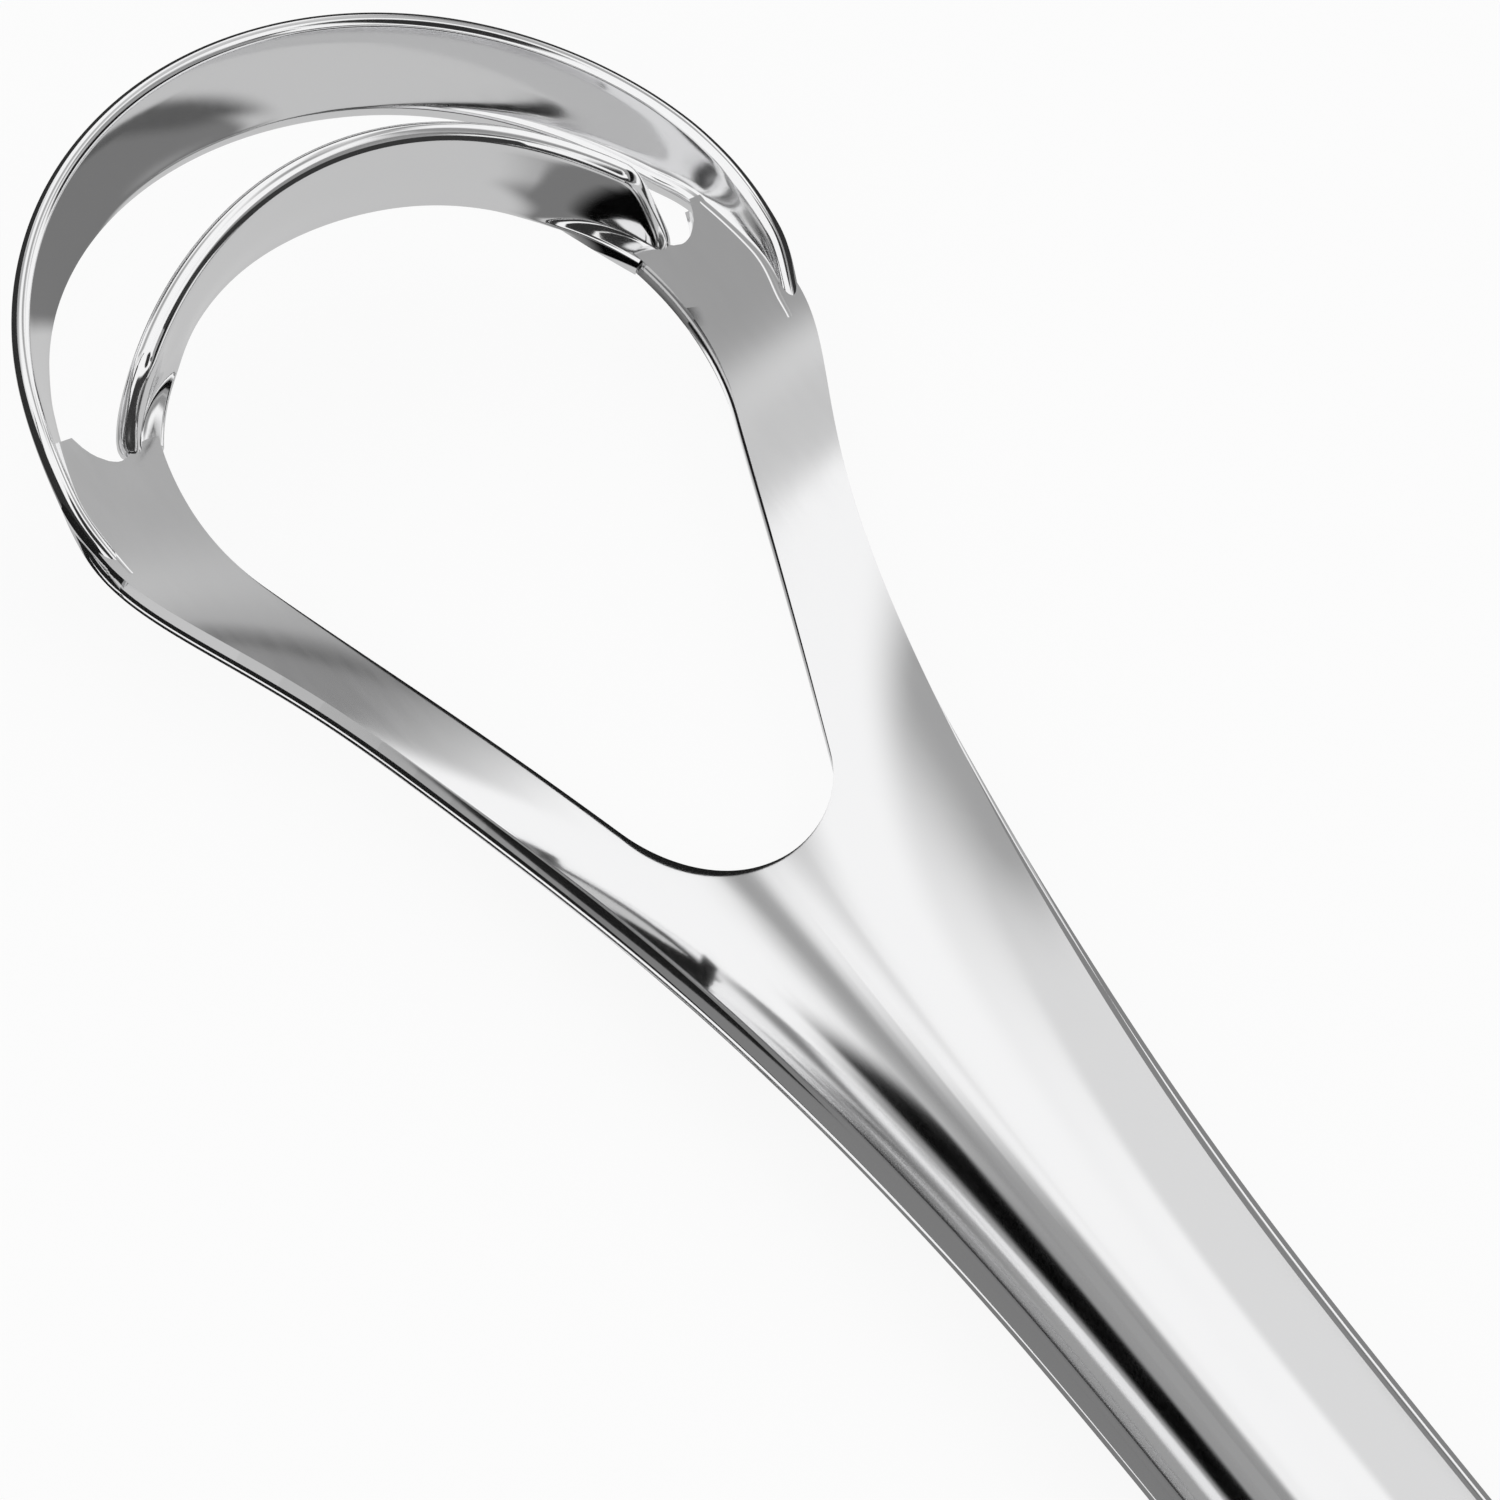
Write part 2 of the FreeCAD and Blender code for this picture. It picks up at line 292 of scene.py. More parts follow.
def arm_inner(steps):
    """Points of the opening's edge along the left arm, from its root to the start of the narrow arc."""
    start = math.acos((ROOT_X - OPENING_X) / wide)
    arc = wide * (turn - start)
    line = (OPENING_X - OPENING_TIP_X) * math.sin(lean)
    from_x = OPENING_X + wide * math.cos(turn)
    from_y = wide * math.sin(turn)
    to_x = OPENING_TIP_X + narrow * math.cos(turn)
    to_y = narrow * math.sin(turn)
    found = []
    for i in range(steps):
        run = i / steps * (arc + line)
        if run < arc:
            angle = start + run / wide
            found.append((OPENING_X + wide * math.cos(angle), wide * math.sin(angle)))
        else:
            share = (run - arc) / line
            found.append((from_x + share * (to_x - from_x), from_y + share * (to_y - from_y)))
    return found


left = arm_inner(ARM_STEPS)
tip = [(OPENING_TIP_X + narrow * math.cos(angle), narrow * math.sin(angle))
       for angle in np.linspace(turn, 2 * math.pi - turn, TIP_STEPS + 1)]
right = [(x, -y) for x, y in reversed(left)]
inner = np.array(left + tip + right)
inner_count = len(inner)
inner_x = inner[:, 0]
inner_q = across_of(inner_x, inner[:, 1])

arm_x = ROOT_X + (NECK_X - ROOT_X) * (np.arange(ARM_STEPS) / ARM_STEPS)
row_shares = np.linspace(1, -1, TIP_STEPS + 1)
outer_x = np.concatenate([arm_x, np.full(TIP_STEPS + 1, NECK_X), arm_x[::-1]])
outer_share = np.concatenate([np.ones(ARM_STEPS), row_shares, -np.ones(ARM_STEPS)])
outer_q = outer_share * (across_limit(outer_x) - EDGE_ROUND)

out_shares = np.arange(OUT_STEPS + 1)[:, None] / OUT_STEPS
grid_x = inner_x + out_shares * (outer_x - inner_x)
grid_q = inner_q + out_shares * (outer_q - inner_q)

# The arms' ends, by the length along the top from the middle: the slot's round end, and a tongue under the
# outer blade's foot
SLOT_END_Q = np.array([9.0, 10.4, 11.0, 11.4, 11.8, 12.15, 12.5, 12.74, 12.93, 14.6])
SLOT_END_X = np.array([62.3, 62.4, 62.3, 62.0, 61.9, 62.05, 62.4, 62.75, 63.4, 63.4])
SLOT_END_RUN = 4
end_share = np.clip(1 - (ROOT_X - grid_x) / SLOT_END_RUN, 0, 1) ** 2
grid_x = grid_x + end_share * (np.interp(np.abs(grid_q), SLOT_END_Q, SLOT_END_X) - ROOT_X)

# Rows of the handle, with the round end
end_centre = END_X + END_RADIUS
swing = np.linspace(math.acos(GRIP_HALF / END_RADIUS), END_TURN, END_STEPS)
rows = np.concatenate([np.linspace(NECK_X, end_centre, HANDLE_STEPS)[1:-1],
                       end_centre + (EDGE_ROUND - END_RADIUS) * np.sin(swing)])
row_x = []
row_q = []
for x in rows:
    limit = across_limit(x) - EDGE_ROUND
    if x < end_centre:
        reach = math.sqrt(max((END_RADIUS - EDGE_ROUND) ** 2 - (x - end_centre) ** 2, 0))
        limit = min(limit, float(across_of(x, np.array(reach))))
    row_x.append(np.full(TIP_STEPS + 1, x))
    row_q.append(row_shares * limit)

all_x = np.concatenate([grid_x.ravel(), *row_x])
all_q = np.concatenate([grid_q.ravel(), *row_q])
top = on_top(all_x, all_q)
normals = top_normal(all_x, all_q)
bottom = top - normals * THICKNESS


def head_at(step, i):
    """Number of the point that is step places out from point i of the opening's edge."""
    return step * inner_count + i


def row_at(k, j):
    """Number of point j in the handle's row k, where row -1 is the neck line."""
    if k < 0:
        return head_at(OUT_STEPS, ARM_STEPS + j)
    return grid_x.size + k * (TIP_STEPS + 1) + j


quads = []
for step in range(OUT_STEPS):
    for i in range(inner_count - 1):
        n = i + 1
        quads.append((head_at(step, i), head_at(step, n), head_at(step + 1, n), head_at(step + 1, i)))
for k in range(len(rows)):
    for j in range(TIP_STEPS):
        quads.append((row_at(k - 1, j), row_at(k - 1, j + 1), row_at(k, j + 1), row_at(k, j)))

# Points round the whole outline: the opening, the right arm, the handle and the left arm
loop = [head_at(0, i) for i in range(inner_count)]
loop += [head_at(step, inner_count - 1) for step in range(1, OUT_STEPS + 1)]
loop += [head_at(OUT_STEPS, i) for i in range(inner_count - 2, inner_count - ARM_STEPS - 1, -1)]
loop += [row_at(k, TIP_STEPS) for k in range(-1, len(rows))]
loop += [row_at(len(rows) - 1, j) for j in range(TIP_STEPS - 1, -1, -1)]
loop += [row_at(k, 0) for k in range(len(rows) - 2, -2, -1)]
loop += [head_at(OUT_STEPS, i) for i in range(ARM_STEPS - 1, -1, -1)]
loop += [head_at(step, 0) for step in range(OUT_STEPS - 1, 0, -1)]


def edge_profile(steps):
    """(outwards, down) pairs round a sheet edge with two rounded corners."""
    turns = np.linspace(0, math.pi / 2, steps + 1)
    upper = [(EDGE_ROUND * math.sin(a), EDGE_ROUND * (1 - math.cos(a))) for a in turns]
    lower = [(EDGE_ROUND * math.cos(a), THICKNESS - EDGE_ROUND + EDGE_ROUND * math.sin(a)) for a in turns]
    return upper + lower


def ring_faces(first, second):
    """Faces between two closed rings with as many points each."""
    found = []
    for i in range(len(first)):
        n = (i + 1) % len(first)
        found.append((first[i], first[n], second[n], second[i]))
    return found


ring = top[loop]
ring_normal = normals[loop]
along = unit(np.roll(ring, -1, axis=0) - np.roll(ring, 1, axis=0))
outward = unit(np.cross(along, ring_normal))
points = [top, bottom]
faces = [tuple(reversed(q)) for q in quads] + [tuple(len(top) + i for i in q) for q in quads]
next_point = 2 * len(top)
previous = loop
for out, down in edge_profile(EDGE_STEPS)[1:-1]:
    points.append(ring + outward * out - ring_normal * down)
    current = list(range(next_point, next_point + len(loop)))
    next_point += len(loop)
    faces += ring_faces(previous, current)
    previous = current
faces += ring_faces(previous, [len(top) + i for i in loop])
add_piece("handle_and_frame", np.concatenate(points), faces, ["handle", "head_frame"])


# Walls
WALL_STEPS = 20
WALL_ROUND_STEPS = 6
WALL_NORMAL_STEP = 0.002


def wall_normals(surface, along, up):
    """Unit normals of surface(along, up) by small differences."""
    run = surface(along + WALL_NORMAL_STEP, up) - surface(along - WALL_NORMAL_STEP, up)
    climb = surface(along, up + WALL_NORMAL_STEP) - surface(along, up - WALL_NORMAL_STEP)
    return -unit(np.cross(run, climb))


def wall(name, surface, alongs, tops, half_at, rim_round, foot_round, replaces):
    """A wall round its middle surface(along, up): up runs from 0 at the foot to the given top at each place
    along, half_at(along, up) is the half thickness, and rim and foot are rounded beyond those lines."""
    n = len(alongs)
    ups = np.linspace(0, 1, WALL_STEPS + 1)
    along_grid = np.repeat(alongs[:, None], WALL_STEPS + 1, axis=1)
    up_grid = tops[:, None] * ups[None, :]
    middle = surface(along_grid, up_grid)
    normal = wall_normals(surface, along_grid, up_grid)
    half = half_at(along_grid, up_grid)

    def rounding(line, direction, radius):
        """Rings beyond an edge line, from the front face to the back face."""
        run = unit(np.gradient(middle[:, line], axis=0))
        out = unit(np.cross(run, normal[:, line])) * direction
        flat = half[:, line] - radius
        rings = []
        for angle in np.linspace(0, math.pi, 2 * WALL_ROUND_STEPS + 1)[1:-1]:
            side = np.sign(round(math.cos(angle), 6))
            away = side * flat + radius * math.cos(angle)
            rings.append(middle[:, line] + normal[:, line] * away[:, None] + out * radius * math.sin(angle))
        return rings

    front = middle + normal * half[..., None]
    back = middle - normal * half[..., None]
    rings = [front[:, j] for j in range(WALL_STEPS + 1)]
    rings += rounding(WALL_STEPS, 1, rim_round)
    rings += [back[:, j] for j in range(WALL_STEPS, -1, -1)]
    rings += rounding(0, -1, foot_round)[::-1]
    rings = np.array(rings)
    m = len(rings)
    faces = []
    for j in range(m):
        k = (j + 1) % m
        for i in range(n - 1):
            faces.append((j * n + i, j * n + i + 1, k * n + i + 1, k * n + i))
    faces.append(tuple(j * n for j in range(m)))
    faces.append(tuple(j * n + n - 1 for j in reversed(range(m))))
    add_piece(name, rings.reshape(-1, 3), faces, replaces)


def fold(foot, corner, rim, up, weight):
    """A curve from foot to rim that bends near the corner, the closer the greater the weight."""
    a = (1 - up) ** 2
    b = 2 * weight * up * (1 - up)
    c = up ** 2
    total = a + b + c
    return (a[..., None] * foot + b[..., None] * corner + c[..., None] * rim) / total[..., None]


# Outer blade: a wall whose foot is folded towards the slot and whose ends sink into the arms. A pair gives
# where a change starts and how long it runs, in degrees round the rim's axis.
FOOT_ABOVE_ARM = 0.004
OUTER_HALF = 0.35
OUTER_LEAN = 1.55
OUTER_UNDERSIDE = 3.03
OUTER_FOOT_RADIUS = RIM_RADIUS - OUTER_LEAN + OUTER_HALF
OUTER_RIM_RADIUS = RIM_RADIUS - OUTER_HALF
OUTER_TAIL_RADIUS = HEAD_HALF - OUTER_HALF
OUTER_FOOT_Z = OUTER_UNDERSIDE + OUTER_HALF
OUTER_RIM_RISE = 7.25
OUTER_RIM_FALL = 2.6
OUTER_RIM_SINK = 0.15
OUTER_FOLD = 2.2
OUTER_FOOT_ROUND = 0.3
ONTO_ARM = (66, 12)
LIP = 0.08
LIP_GROWTH = 0.4
LIP_GROWS = (20, 50)
TAIL_TUCK = 0.4
TAIL_TUCKS = (86, 10)
OUTER_END_ANGLE = 99
OUTER_COLUMNS = 397

# How far the rim has sunk to the arm, by degrees round the rim's axis
SINK_ANGLES = np.array([0, 64, 70, 76, 81, 87, 93.5, 98, 104])
SINK_SHARES = np.array([0, 0, 0.01, 0.07, 0.18, 0.40, 0.80, 1.0, 1.2])
SINK_END = 110
SINK_STEP = 0.25
SINK_SPREAD = 6
FINE_ANGLES = np.arange(0, SINK_END, SINK_STEP)
SINK_TABLE = smoothed(np.interp(FINE_ANGLES, SINK_ANGLES, SINK_SHARES), SINK_SPREAD)


def outer_surface(angle, up):
    """Middle surface of the outer blade at an angle in degrees round the rim's axis."""
    turned = np.radians(angle)
    turn_x = np.cos(turned)
    turn_y = np.sin(turned)
    sink = np.interp(np.abs(angle), FINE_ANGLES, SINK_TABLE)
    closing = np.sqrt(np.clip(sink, 0, 1))
    level = OUTER_RIM_RISE - OUTER_HALF - (1 - turn_x) * OUTER_RIM_FALL
    onto_arm = ramp(np.abs(angle), *ONTO_ARM)
    lip = LIP + LIP_GROWTH * ramp(-angle, *LIP_GROWS)
    tail_radius = OUTER_TAIL_RADIUS - TAIL_TUCK * ramp(np.abs(angle), *TAIL_TUCKS)
    corner_reach = OUTER_FOOT_RADIUS + closing * (tail_radius - OUTER_FOOT_RADIUS)
    foot_reach = corner_reach - lip
    rim_reach = OUTER_RIM_RADIUS + closing * (tail_radius - OUTER_RIM_RADIUS)
    foot_x = RIM_X + foot_reach * turn_x
    foot_y = foot_reach * turn_y
    arm_z = sheet_top(foot_x, foot_y) - OUTER_HALF + FOOT_ABOVE_ARM
    rim_z = level + sink * (arm_z - OUTER_RIM_SINK - level)
    foot_z = OUTER_FOOT_Z + onto_arm * (arm_z - OUTER_FOOT_Z)
    foot = np.stack([foot_x, foot_y, foot_z], axis=-1)
    corner = np.stack([RIM_X + corner_reach * turn_x, corner_reach * turn_y, foot_z], axis=-1)
    rim = np.stack([RIM_X + rim_reach * turn_x, rim_reach * turn_y, rim_z], axis=-1)
    return fold(foot, corner, rim, up, OUTER_FOLD)


def outer_half(along, up):
    """Half thickness, the same all over."""
    return np.full_like(up, OUTER_HALF)


outer_alongs = np.linspace(-OUTER_END_ANGLE, OUTER_END_ANGLE, OUTER_COLUMNS)
wall("rim_wall", outer_surface, outer_alongs, np.ones_like(outer_alongs), outer_half,
     rim_round=OUTER_HALF, foot_round=OUTER_FOOT_ROUND, replaces=["outer_blade"])

# Inner blade: its foot follows the opening's edge, where the arms' sheet turns up into the wall. A pair
# gives where a change starts and how long it runs, as shares of the way to an end or up the wall.
INNER_HALF = 0.45
INNER_FOOT_X = 56.24
INNER_FOOT_RADIUS = 11.66
INNER_FOOT_Z = 4.4
INNER_FOOT_END_Y = 10.05
INNER_FOOT_ROUND = 0.15
INNER_RIM_X = 52.24
INNER_RIM_RADIUS = 15.15
INNER_RIM_RISE = 8.9
INNER_RIM_Z = INNER_RIM_RISE - INNER_HALF
INNER_RIM_FALL = 2.9
INNER_RIM_FALL_Y = 11.3
INNER_RIM_END_Y = 10.95
INNER_LEAN_SHARE = 0.3
FOOT_FALL_POWER = 2.2
LEDGE = 1.25
LEDGE_CLIMB = 0.3
LEDGE_INSET = 0.05
LEDGE_FOLD = 2.2
LEDGE_FLATTENS = (0.70, 0.28)
LEDGE_TOP = 0.42
THIN_FOOT_HALF = 0.2
END_FOOT_HALF = 0.22
FOOT_THICKENS = (0.6, 0.4)
RIM_THICKENS = (0, 0.7)
END_ROUND_FROM = 0.9
END_ROUND_RUN = 0.1
END_ROUND_POWER = 2.6
INNER_COLUMNS = 301


def inner_surface(share, up):
    """Middle surface of the inner blade at a share of the way from its middle to its end."""
    size = np.abs(share)
    flat = ramp(size, *LEDGE_FLATTENS)
    radius = INNER_FOOT_RADIUS - LEDGE_INSET * flat
    foot_y = share * INNER_FOOT_END_Y
    foot_x = INNER_FOOT_X + np.sqrt(radius ** 2 - foot_y ** 2)
    end_z = sheet_top(foot_x, foot_y) - INNER_HALF + FOOT_ABOVE_ARM
    foot_z = INNER_FOOT_Z + ramp(size ** FOOT_FALL_POWER, 0, 1) * (end_z - INNER_FOOT_Z)
    foot = np.stack([foot_x, foot_y, foot_z], axis=-1)
    rim_y = share * INNER_RIM_END_Y
    rim_x = INNER_RIM_X + np.sqrt(INNER_RIM_RADIUS ** 2 - rim_y ** 2)
    rim_z = INNER_RIM_Z - INNER_RIM_FALL * (rim_y / INNER_RIM_FALL_Y) ** 2
    rim = np.stack([rim_x, rim_y, rim_z], axis=-1)
    outwards = unit(np.stack([foot_x - OPENING_X, foot_y, np.full_like(foot_x, LEDGE_CLIMB)], axis=-1))
    leaning = ((1 - flat) * INNER_LEAN_SHARE)[..., None] * (rim - foot)
    corner = foot + (flat * LEDGE)[..., None] * outwards + leaning
    return fold(foot, corner, rim, up, 1 + LEDGE_FOLD * flat)


def inner_half(along, up):
    """Half thickness: thin at the foot's middle, thicker at the foot's ends and the sheet's at the rim."""
    foot_half = THIN_FOOT_HALF + END_FOOT_HALF * ramp(np.abs(along), *FOOT_THICKENS)
    return foot_half + (INNER_HALF - foot_half) * ramp(up, *RIM_THICKENS)


inner_alongs = np.sin(np.linspace(-1, 1, INNER_COLUMNS) * math.pi / 2)
ends = np.clip((np.abs(inner_alongs) - END_ROUND_FROM) / END_ROUND_RUN, 0, 1)
inner_tops = LEDGE_TOP + (1 - LEDGE_TOP) * np.sqrt(np.clip(1 - ends ** END_ROUND_POWER, 0, 1))
wall("raised_blade", inner_surface, inner_alongs, inner_tops, inner_half,
     rim_round=INNER_HALF, foot_round=INNER_FOOT_ROUND, replaces=["inner_blade"])


# Camera: the photograph's view, seen from far away through a long lens
RIGHT = Vector((-0.5343, -0.8376, 0.1133))
UP = Vector((0.6592, -0.3291, 0.6762))
TOWARDS = Vector((-0.5291, 0.4360, 0.7280))
AIM = Vector((43.1, -3.1, -0.4)) * MM
FRAME_WIDTH = 52.63 * MM
HALF_VIEW = math.radians(0.85)
SENSOR_WIDTH = 36
NEAREST_SEEN = 0.1
FARTHEST_SEEN = 20

camera_data = bpy.data.cameras.new("camera")
camera_data.sensor_width = SENSOR_WIDTH
camera_data.lens = SENSOR_WIDTH / 2 / math.tan(HALF_VIEW)
camera_data.clip_start = NEAREST_SEEN
camera_data.clip_end = FARTHEST_SEEN
camera = bpy.data.objects.new("camera", camera_data)
distance = FRAME_WIDTH / 2 / math.tan(HALF_VIEW)
place = AIM + TOWARDS * distance
camera.matrix_world = Matrix((
    (RIGHT.x, UP.x, TOWARDS.x, place.x),
    (RIGHT.y, UP.y, TOWARDS.y, place.y),
    (RIGHT.z, UP.z, TOWARDS.z, place.z),
    (0, 0, 0, 1),
))
bpy.context.scene.collection.objects.link(camera)
bpy.context.scene.camera = camera

# Floor: white to the camera and in the steel, with the part's faint shadow. Its sizes are in metres.
FLOOR_REACH = 3.0
FLOOR_LEVEL = -0.0002
FLOOR_GLOW = 0.9
FLOOR_COLOUR = (0.9, 0.9, 0.9, 1)
FLOOR_ROUGHNESS = 0.9
CORNERS = ((-1, -1), (1, -1), (1, 1), (-1, 1))


def seen_directly(tree):
    """Socket that is 1 for camera, glossy and transmission rays and 0 for light that spreads."""
    path = node(tree, "ShaderNodeLightPath")
    first = node(tree, "ShaderNodeMath", operation="ADD")
    second = node(tree, "ShaderNodeMath", operation="ADD", use_clamp=True)
    tree.links.new(path.outputs["Is Camera Ray"], first.inputs[0])
    tree.links.new(path.outputs["Is Glossy Ray"], first.inputs[1])
    tree.links.new(first.outputs[0], second.inputs[0])
    tree.links.new(path.outputs["Is Transmission Ray"], second.inputs[1])
    return second.outputs[0]


def add_stage(name, points, faces, material):
    """An object of the surroundings, from points in metres."""
    made = new_object(name, points, faces, material)
    return made


def floor_material():
    """Matt white that also glows for the rays that see it directly."""
    material = bpy.data.materials.new("floor")
    material.use_nodes = True
    tree = material.node_tree
    shader = tree.nodes["Principled BSDF"]
    shader.inputs["Base Color"].default_value = FLOOR_COLOUR
    shader.inputs["Roughness"].default_value = FLOOR_ROUGHNESS
    glow = node(tree, "ShaderNodeEmission")
    share = node(tree, "ShaderNodeMath", operation="MULTIPLY")
    share.inputs[1].default_value = FLOOR_GLOW
    mix = node(tree, "ShaderNodeMixShader")
    tree.links.new(seen_directly(tree), share.inputs[0])
    tree.links.new(share.outputs[0], mix.inputs[0])
    tree.links.new(shader.outputs[0], mix.inputs[1])
    tree.links.new(glow.outputs[0], mix.inputs[2])
    tree.links.new(mix.outputs[0], tree.nodes["Material Output"].inputs["Surface"])
    return material


floor_points = [(x * FLOOR_REACH, y * FLOOR_REACH, FLOOR_LEVEL) for x, y in CORNERS]
add_stage("floor", floor_points, [(0, 1, 2, 3)], floor_material())

# Dark and grey cards beside the part, which only the steel sees. Each is flat across one axis at a level
# and runs from one place to another along the other two axes in their order. Its soft borders come in the
# same order, and the last number is its brightness.
CARDS = [
    ("y", -40, (-170, 62), (15, 41), (5, 5), 0.0),
    ("y", -41, (-170, 61), (8, 56), (7, 7), 0.33),
    ("y", -42, (-170, 80), (46, 88), (14, 14), 0.30),
    ("y", -44, (86, 160), (60, 126), (26, 26), 0.62),
    ("y", 0, (-170, 37), (0.9, 1.75), (24, 0.2), 0.36),
    ("z", -0.16, (-200, 160), (-100, 100), (20, 20), 0.60),
    ("z", -0.12, (-170, 46), (1, 45), (2, 2), 0.30),
    ("z", -0.12, (48, 85), (14, 45), (2, 2), 0.30),
    ("z", 3.06, (68.2, 71.4), (-2.8, 0.3), (1.1, 1.1), 0.11),
    ("z", 3.03, (68.3, 72.5), (-1.9, 12), (0.8, 0.8), 0.20),
    ("z", 3.03, (58.5, 63.8), (-11, -7.7), (0.8, 0.8), 0.0),
    ("z", 3.00, (58.5, 64.9), (-11, -5.2), (1.2, 1.2), 0.20),
]


def bare_material(name):
    """A material without a shader, and its node tree."""
    material = bpy.data.materials.new(name)
    material.use_nodes = True
    tree = material.node_tree
    tree.nodes.remove(tree.nodes["Principled BSDF"])
    return material, tree


def grey_light(tree, brightness):
    """Socket of an even light of the given brightness."""
    light = node(tree, "ShaderNodeEmission")
    light.inputs["Color"].default_value = (brightness, brightness, brightness, 1)
    return light.outputs[0]


def card_material(size, border, brightness):
    """Dull light of the given brightness that fades out along the card's borders."""
    material, tree = bare_material("card")
    clear = node(tree, "ShaderNodeBsdfTransparent")
    mix = node(tree, "ShaderNodeMixShader")
    place = node(tree, "ShaderNodeTexCoord")
    split = node(tree, "ShaderNodeSeparateXYZ")
    both = node(tree, "ShaderNodeMath", operation="MULTIPLY")
    tree.links.new(place.outputs["Object"], split.inputs[0])
    for i in range(2):
        half = size[i] / 2
        inwards = node(tree, "ShaderNodeMath", operation="ABSOLUTE")
        share = node(tree, "ShaderNodeMapRange", interpolation_type="SMOOTHSTEP")
        share.inputs["From Min"].default_value = half * MM
        share.inputs["From Max"].default_value = (half - border[i]) * MM
        tree.links.new(split.outputs[i], inwards.inputs[0])
        tree.links.new(inwards.outputs[0], share.inputs["Value"])
        tree.links.new(share.outputs["Result"], both.inputs[i])
    tree.links.new(both.outputs[0], mix.inputs[0])
    tree.links.new(clear.outputs[0], mix.inputs[1])
    tree.links.new(grey_light(tree, brightness), mix.inputs[2])
    tree.links.new(mix.outputs[0], tree.nodes["Material Output"].inputs["Surface"])
    return material


def flag_material(brightness):
    """Even dull light of the given brightness."""
    material, tree = bare_material("flag")
    tree.links.new(grey_light(tree, brightness), tree.nodes["Material Output"].inputs["Surface"])
    return material


def keep_to_reflections(made):
    """Hides an object from the camera, from spreading light and from shadows."""
    made.visible_camera = False
    made.visible_diffuse = False
    made.visible_shadow = False


for number, (axis, level, first, second, border, brightness) in enumerate(CARDS):
    size = (first[1] - first[0], second[1] - second[0])
    middle = [(first[0] + first[1]) / 2, (second[0] + second[1]) / 2]
    middle.insert("xyz".index(axis), level)
    corners = [(x * size[0] / 2 * MM, y * size[1] / 2 * MM, 0) for x, y in CORNERS]
    card = add_stage("card_" + str(number), corners, [(0, 1, 2, 3)], card_material(size, border, brightness))
    card.location = Vector(middle) * MM
    if axis == "y":
        card.rotation_euler.x = math.radians(90)
    keep_to_reflections(card)


def flag(name, line, low, high, brightness):
    """A narrow card standing along a line of points, from low to high above them."""
    n = len(line)
    x, y, z = line.T * MM
    points = [*zip(x, y, z + low * MM), *zip(x, y, z + high * MM)]
    faces = [(i, i + 1, n + i + 1, n + i) for i in range(n - 1)]
    keep_to_reflections(add_stage(name, points, faces, flag_material(brightness)))


def offset_line(line, distance):
    """Points moved sideways by the distance, to the left of their way in plan."""
    run = unit(np.gradient(line[:, :2], axis=0))
    shifted = line.copy()
    shifted[:, 0] -= run[:, 1] * distance
    shifted[:, 1] += run[:, 0] * distance
    return shifted


def rim_arc(centre_x, radius, rise, fall, angles):
    """Points round a rim at angles in degrees, where its height falls off to the sides."""
    angles = np.radians(angles)
    height = rise - (1 - np.cos(angles)) * fall
    return np.stack([centre_x + radius * np.cos(angles), radius * np.sin(angles), height], axis=-1)


# Narrow flags that give the steel's edges their dark and grey lines: along the near and the far side of the
# handle and the arms, round the opening, and round the rims of both blades
SIDE_GAP = 0.4
SIDE_STEPS = 160
side_x = np.linspace(END_X + END_RADIUS, ROOT_X, SIDE_STEPS)
side = on_top(side_x, across_limit(side_x))
near_side = offset_line(side, SIDE_GAP)
far_side = offset_line(side * (1, -1, 1), -SIDE_GAP)

# The near side's black flag reaches lower towards the head, and the grey ones under it grow brighter
BLACK_DROP_X = (20, 46)
BLACK_DROP = (0.0, -0.85)
BRIGHTENING_X = (38, 53)
BRIGHTENING = (0.22, 0.62)
BRIGHTENING_STEPS = 9
black_foot = np.interp(side_x, BLACK_DROP_X, BLACK_DROP)
part_ends = np.searchsorted(side_x, np.linspace(*BRIGHTENING_X, BRIGHTENING_STEPS))
part_ends = [0, *part_ends, len(side_x) - 1]
for number, brightness in enumerate(np.linspace(*BRIGHTENING, BRIGHTENING_STEPS + 1)):
    part = slice(part_ends[number], part_ends[number + 1] + 1)
    flag("flag_near_low_" + str(number), near_side[part], low=-1.5, high=black_foot[part],
         brightness=brightness)
flag("flag_near_high", near_side, low=black_foot, high=0.6, brightness=0.01)
flag("flag_far", far_side, low=-2.0, high=0.05, brightness=0.25)

# The opening's flags leave out the arms' ends. The far one is taller round the opening's back.
MOUTH_GAP = 0.3
MOUTH_END = 12
FAR_HEIGHTS = (0.35, 1.1)
mouth = on_top(inner_x, inner_q)
far_mouth = offset_line(mouth[:inner_count - ARM_STEPS], MOUTH_GAP)
near_mouth = offset_line(mouth[inner_count - ARM_STEPS:], MOUTH_GAP)
far_height = np.interp(np.arange(len(far_mouth)), (ARM_STEPS, len(far_mouth)), FAR_HEIGHTS)
flag("flag_mouth_far", far_mouth[MOUTH_END:], low=-1.5, high=far_height[MOUTH_END:], brightness=0.01)
flag("flag_mouth_near", near_mouth[:-MOUTH_END], low=-0.7, high=-0.2, brightness=0.01)

RIM_GAP = 0.4
RIM_ANGLES = np.linspace(-96, 96, 97)
rim_line = rim_arc(RIM_X, RIM_RADIUS, OUTER_RIM_RISE, OUTER_RIM_FALL, RIM_ANGLES)
flag("flag_rim", offset_line(rim_line, -RIM_GAP), low=-1.5, high=0.3, brightness=0.03)

BAND_GAP = 1.4
BAND_ANGLES = np.linspace(-30, 36, 67)
band_line = rim_arc(INNER_RIM_X, INNER_RIM_RADIUS, INNER_RIM_RISE, INNER_RIM_FALL, BAND_ANGLES)
flag("flag_band", offset_line(band_line, BAND_GAP), low=-0.9, high=0.2, brightness=0.04)

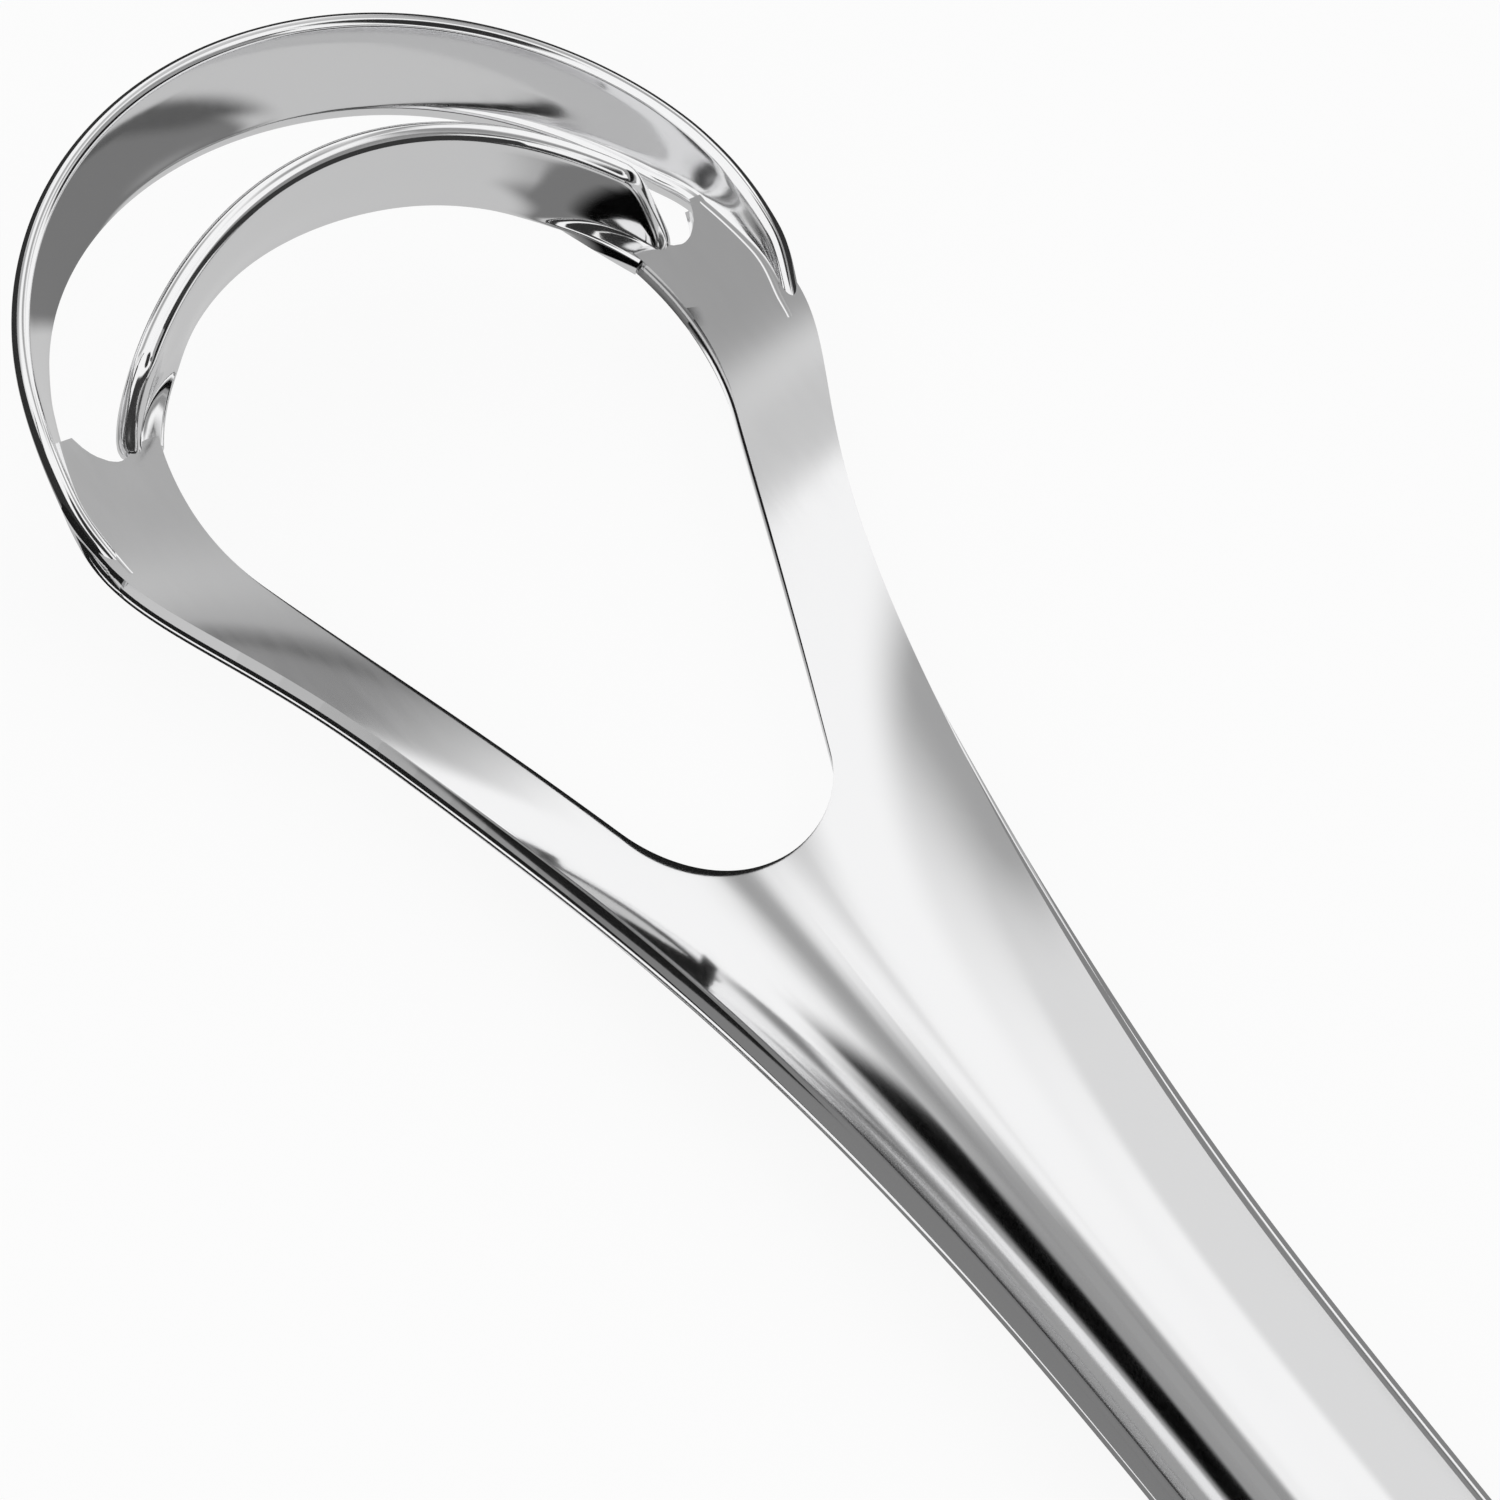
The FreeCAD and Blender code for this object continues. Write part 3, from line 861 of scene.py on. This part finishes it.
# Studio: white all round, with soft grey bands by direction. Each band runs from one direction to another,
# both given as degrees from +X towards +Y and degrees up, with its half width, soft border and brightness.
SKY_WHITE = 1.05
BANDS = [
    ((-45.5, 26), (-45.5, 35), 1.0, 6.0, 0.27),
    ((-45.8, 35), (-46, 37), 0.4, 2.2, 0.12),
    ((-46.5, 41), (-62, 55), 1.0, 6.0, 0.42),
    ((-46, 61), (-62, 67), 1.0, 12.0, 0.36),
    ((10, 41), (36, 25), 3.0, 14.0, 0.40),
    ((56, 0), (49, 38), 7.0, 6.0, 0.80),
    ((-38, 6), (5, 8), 7.0, 3.0, 0.03),
    ((48, 60), (68, 42), 1.5, 2.0, 0.02),
    ((68, 42), (78, 20), 2.0, 2.0, 0.02),
    ((78, 20), (82, -5), 5.0, 2.0, 0.02),
    ((165, 46), (190, 68), 12.0, 4.0, 0.03),
    ((122, 4), (180, 8), 10.0, 4.0, 0.04),
    ((180, 8), (-142, 14), 9.0, 4.0, 0.04),
    ((-142, 14), (-150, 42), 6.0, 3.0, 0.04),
]


def direction(turned, up):
    """Unit vector that is turned from +X towards +Y and tilted up, both in degrees."""
    turned = math.radians(turned)
    up = math.radians(up)
    return Vector((math.cos(turned) * math.cos(up), math.sin(turned) * math.cos(up), math.sin(up)))


def sky_band(tree, look, colour, start, end, width, border, brightness):
    """Adds a soft band between two directions to the sky's colour."""
    start = direction(*start)
    way = direction(*end) - start
    from_start = node(tree, "ShaderNodeVectorMath", operation="SUBTRACT")
    from_start.inputs[1].default_value = start
    along = node(tree, "ShaderNodeVectorMath", operation="DOT_PRODUCT")
    along.inputs[1].default_value = way / way.length_squared
    kept = node(tree, "ShaderNodeClamp")
    nearest = node(tree, "ShaderNodeVectorMath", operation="SCALE")
    nearest.inputs[0].default_value = way
    away = node(tree, "ShaderNodeVectorMath", operation="DISTANCE")
    share = node(tree, "ShaderNodeMapRange", interpolation_type="SMOOTHSTEP")
    share.inputs["From Min"].default_value = math.radians(width)
    share.inputs["From Max"].default_value = math.radians(width + border)
    share.inputs["To Min"].default_value = 1.0
    share.inputs["To Max"].default_value = 0.0
    mix = node(tree, "ShaderNodeMixRGB")
    mix.inputs["Color2"].default_value = (brightness, brightness, brightness, 1)
    tree.links.new(look, from_start.inputs[0])
    tree.links.new(from_start.outputs[0], along.inputs[0])
    tree.links.new(along.outputs["Value"], kept.inputs["Value"])
    tree.links.new(kept.outputs[0], nearest.inputs["Scale"])
    tree.links.new(from_start.outputs[0], away.inputs[0])
    tree.links.new(nearest.outputs[0], away.inputs[1])
    tree.links.new(away.outputs["Value"], share.inputs["Value"])
    tree.links.new(share.outputs["Result"], mix.inputs["Fac"])
    tree.links.new(colour, mix.inputs["Color1"])
    return mix.outputs["Color"]


world = bpy.data.worlds.new("studio")
bpy.context.scene.world = world
world.use_nodes = True
tree = world.node_tree
sky = tree.nodes["Background"]
look = node(tree, "ShaderNodeTexCoord").outputs["Generated"]
colour = node(tree, "ShaderNodeRGB").outputs[0]
colour.default_value = (SKY_WHITE, SKY_WHITE, SKY_WHITE, 1)
for band in BANDS:
    colour = sky_band(tree, look, colour, *band)
tree.links.new(colour, sky.inputs["Color"])
sky.inputs["Strength"].default_value = 1.0

bpy.context.scene.view_settings.view_transform = "Standard"
